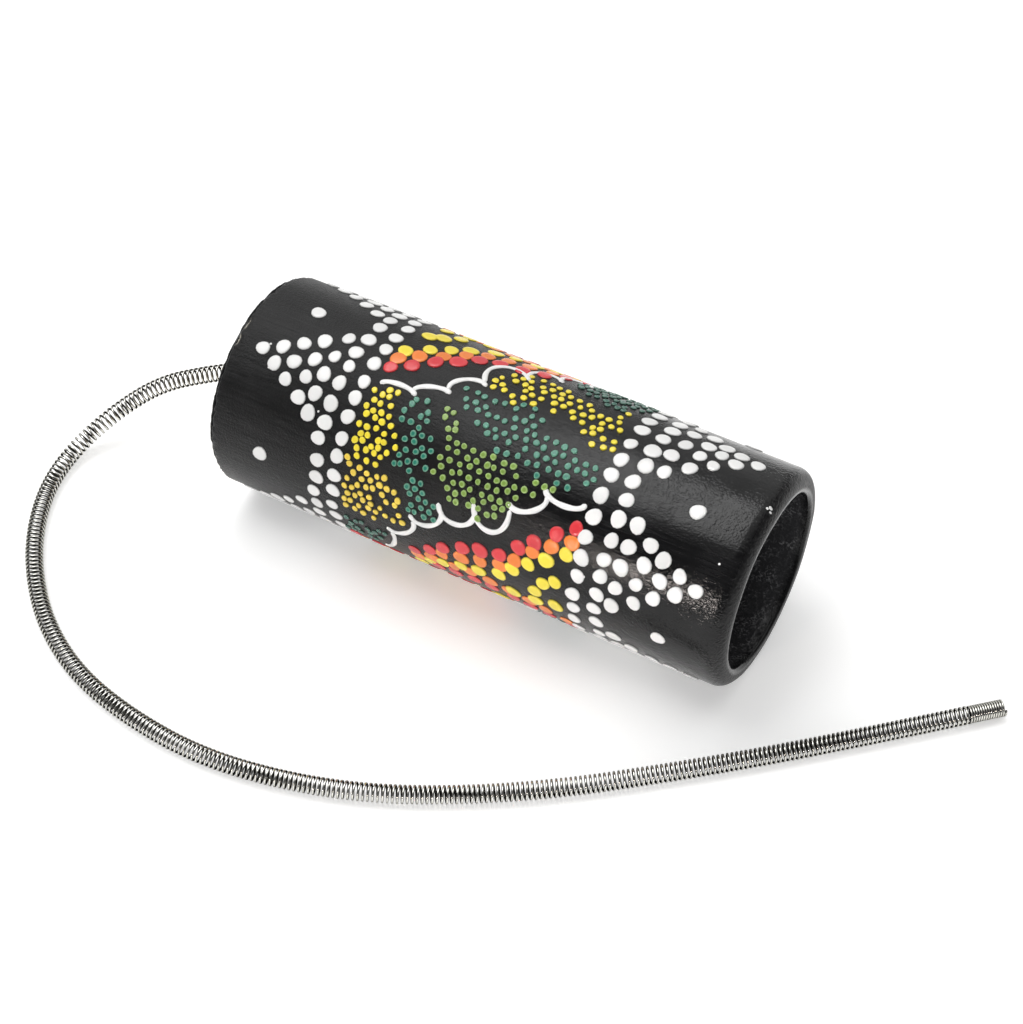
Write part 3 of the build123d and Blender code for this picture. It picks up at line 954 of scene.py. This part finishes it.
# Small pieces that keep their solids
leatherPlan = {
    "clouds": (260.0, 2.2), "cellScale": 1500.0, "creaseWidth": 0.18,
    "browns": ((0.085, 0.042, 0.020), (0.19, 0.105, 0.055)),
    "creaseColour": (0.05, 0.026, 0.014),
    "roughness": (0.55, 0.75), "lift": (0.5, 0.1 * mm),
}
washerPlan = {"greys": ((0.40, 0.40, 0.41), (0.62, 0.62, 0.63)), "scratches": (1.0, 2.0, (900.0, 2600.0, 300.0))}
pinPlan = {"greys": ((0.30, 0.30, 0.31), (0.50, 0.50, 0.51)), "scratches": (1.0, 2.0, (3000.0, 3000.0, 200.0))}
steelPlan = {"dulling": (300.0, 2.0), "roughness": (0.26, 0.46), "lift": (0.3, 0.04 * mm)}
gluePlan = {
    "blobs": (350.0, 2.0), "ambers": ((0.36, 0.24, 0.10), (0.60, 0.47, 0.25)),
    "paintStart": (33.2 * mm, 32.6 * mm),
    "roughness": (0.25, 0.45), "lift": (0.5, 0.2 * mm),
}


def patchLeather(plan):
    # Cloudy brown leather with darker creases along the edges of small cells
    material, tree = newMaterial("patchLeather")
    clouds = grain(tree, *plan["clouds"])[0]
    inputs = {"Vector": objectPoint(tree), "Scale": plan["cellScale"]}
    cells = addNode(tree, "TexVoronoi", "Distance", inputs, feature="DISTANCE_TO_EDGE")
    crease = mapRange(tree, cells, 0.0, plan["creaseWidth"])
    colour = mix(tree, crease, plan["creaseColour"], mix(tree, clouds, *plan["browns"]))
    return dress(material, plan, colour, clouds, crease)


def plainSteel(name, plan):
    # Drawn or rolled steel: fine scratches along one way, cloudy dulling
    plan = {**steelPlan, **plan}
    material, tree = newMaterial(name)
    scratch, height = grain(tree, *plan["scratches"])
    dull = grain(tree, *plan["dulling"])[0]
    colour = mix(tree, times(tree, scratch, dull), *plan["greys"])
    return dress(material, plan, colour, dull, height, {"Metallic": 1.0})


def driedGlue(plan):
    # Amber blobs, black where the paint ran over them
    material, tree = newMaterial("driedGlue")
    blobs, height = grain(tree, *plan["blobs"])
    colour = paintedRim(tree, mix(tree, blobs, *plan["ambers"]), blobs, plan["paintStart"])
    return dress(material, plan, colour, blobs, height)


nodeMaterials = {
    "skin_patch": patchLeather(leatherPlan),
    "anchor_washer": plainSteel("washerSteel", washerPlan),
    "anchor_pin": plainSteel("pinSteel", pinPlan),
    "glue_ring": driedGlue(gluePlan),
}
for name, material in nodeMaterials.items():
    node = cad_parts[name]
    node.data.materials.clear()
    node.data.materials.append(material)
print("materials on", ", ".join(nodeMaterials))


# Floor and light: a bright ceiling that leans away from the viewer, dark sides, a lamp overhead, a small low lamp
# for the glare by the mouth and a front lamp that doesn't show in the gloss
stagePlan = {
    "floorSize": 60.0, "floorDrop": 0.05 * mm,
    "floorColour": (0.90, 0.90, 0.895), "floorGlow": 0.32,
    "floorFade": (0.5, 1.6),  # metres from the origin where the lit floor turns into an even backdrop
    "dark": (0.14, 0.14, 0.143), "bright": (0.95, 0.95, 0.945),
    "backdrop": (0.97, 0.97, 0.965),  # what the camera sees past the floor
    "ceilingWay": (-0.35, 0.45, 0.822),
    "ceilingEdge": (0.45, 0.75),  # cosines of the angles from that way where the light ends and is full
}
lampPlan = {"aim": (0.0, 0.0, 0.0), "spread": 180.0, "colour": (1.0, 1.0, 1.0), "mirrored": True}
lampPlans = {
    "overheadLamp": {"place": (-0.45, 0.085, 1.3), "size": (1.13, 0.65), "watts": 8.2},
    "lowLamp": {"place": (-0.17, -1.0, 0.20), "aim": (0.082, -0.03, 0.05), "size": (0.09, 0.17), "watts": 0.034,
                "spread": 20.0, "colour": (1.0, 0.90, 0.84)},
    "frontLamp": {"place": (0.28, -1.1, 0.4), "size": (0.7, 0.7), "watts": 6.0, "mirrored": False},
}


def addLamp(name, plan):
    lamp = bpy.data.lights.new(name, "AREA")
    lamp.shape = "RECTANGLE"
    lamp.size, lamp.size_y = plan["size"]
    lamp.energy = plan["watts"]
    lamp.spread = math.radians(plan["spread"])
    lamp.color = plan["colour"]
    ahead = Vector(plan["aim"]) - Vector(plan["place"])
    placeObject(name, lamp, plan["place"], ahead).visible_glossy = plan["mirrored"]


def makeFloor(plan):
    # Pale floor that glows a little for the camera and in mirrors, and turns into the backdrop far away
    half, low = plan["floorSize"] / 2, -plan["floorDrop"]
    corners = [(-half, -half, low), (half, -half, low), (half, half, low), (-half, half, low)]
    material, tree = newMaterial("paleFloor")
    distance = addNode(tree, "VectorMath", "Value", {0: objectPoint(tree)}, operation="LENGTH")
    far = mapRange(tree, distance, *plan["floorFade"])
    direct = addNode(tree, "LightPath", "Is Camera Ray")
    seen = maths(tree, "MAXIMUM", direct, direct.node.outputs["Is Glossy Ray"])
    seen = maths(tree, "MAXIMUM", seen, direct.node.outputs["Is Transmission Ray"])
    farGlow = times(tree, maths(tree, "SQRT", far), plan["backdrop"][0] - plan["floorGlow"])
    farGlow = times(tree, farGlow, direct)
    feed(tree, tree.nodes["Principled BSDF"], {
        "Base Color": mix(tree, far, plan["floorColour"], (0.0, 0.0, 0.0)),
        "Roughness": 0.9,
        "Specular IOR Level": 0.1,
        "Emission Color": (1.0, 1.0, 1.0, 1.0),
        "Emission Strength": plus(tree, times(tree, seen, plan["floorGlow"]), farGlow),
    })
    floor = makePiece("floor", corners, np.array([[0, 1, 2, 3]]), noTriangles, material)


def makeWorld(plan):
    # Light that rises smoothly from dark to bright with the cosine of the angle from the ceiling's way
    world = bpy.data.worlds.new("studio")
    world.use_nodes = True
    tree = world.node_tree
    direction = addNode(tree, "TexCoord", "Generated")
    ways = {0: direction, 1: plan["ceilingWay"]}
    lean = addNode(tree, "VectorMath", "Value", ways, operation="DOT_PRODUCT")
    share = mapRange(tree, lean, *plan["ceilingEdge"], interpolation_type="SMOOTHSTEP")
    colour = mix(tree, share, plan["dark"], plan["bright"])
    seen = addNode(tree, "LightPath", "Is Camera Ray")
    feed(tree, tree.nodes["Background"], {"Color": mix(tree, seen, colour, plan["backdrop"])})
    scene.world = world


makeFloor(stagePlan)
makeWorld(stagePlan)
for lampName, changes in lampPlans.items():
    addLamp(lampName, {**lampPlan, **changes})
scene.view_settings.view_transform = "Standard"
print("stage:", len(lampPlans), "lamps")
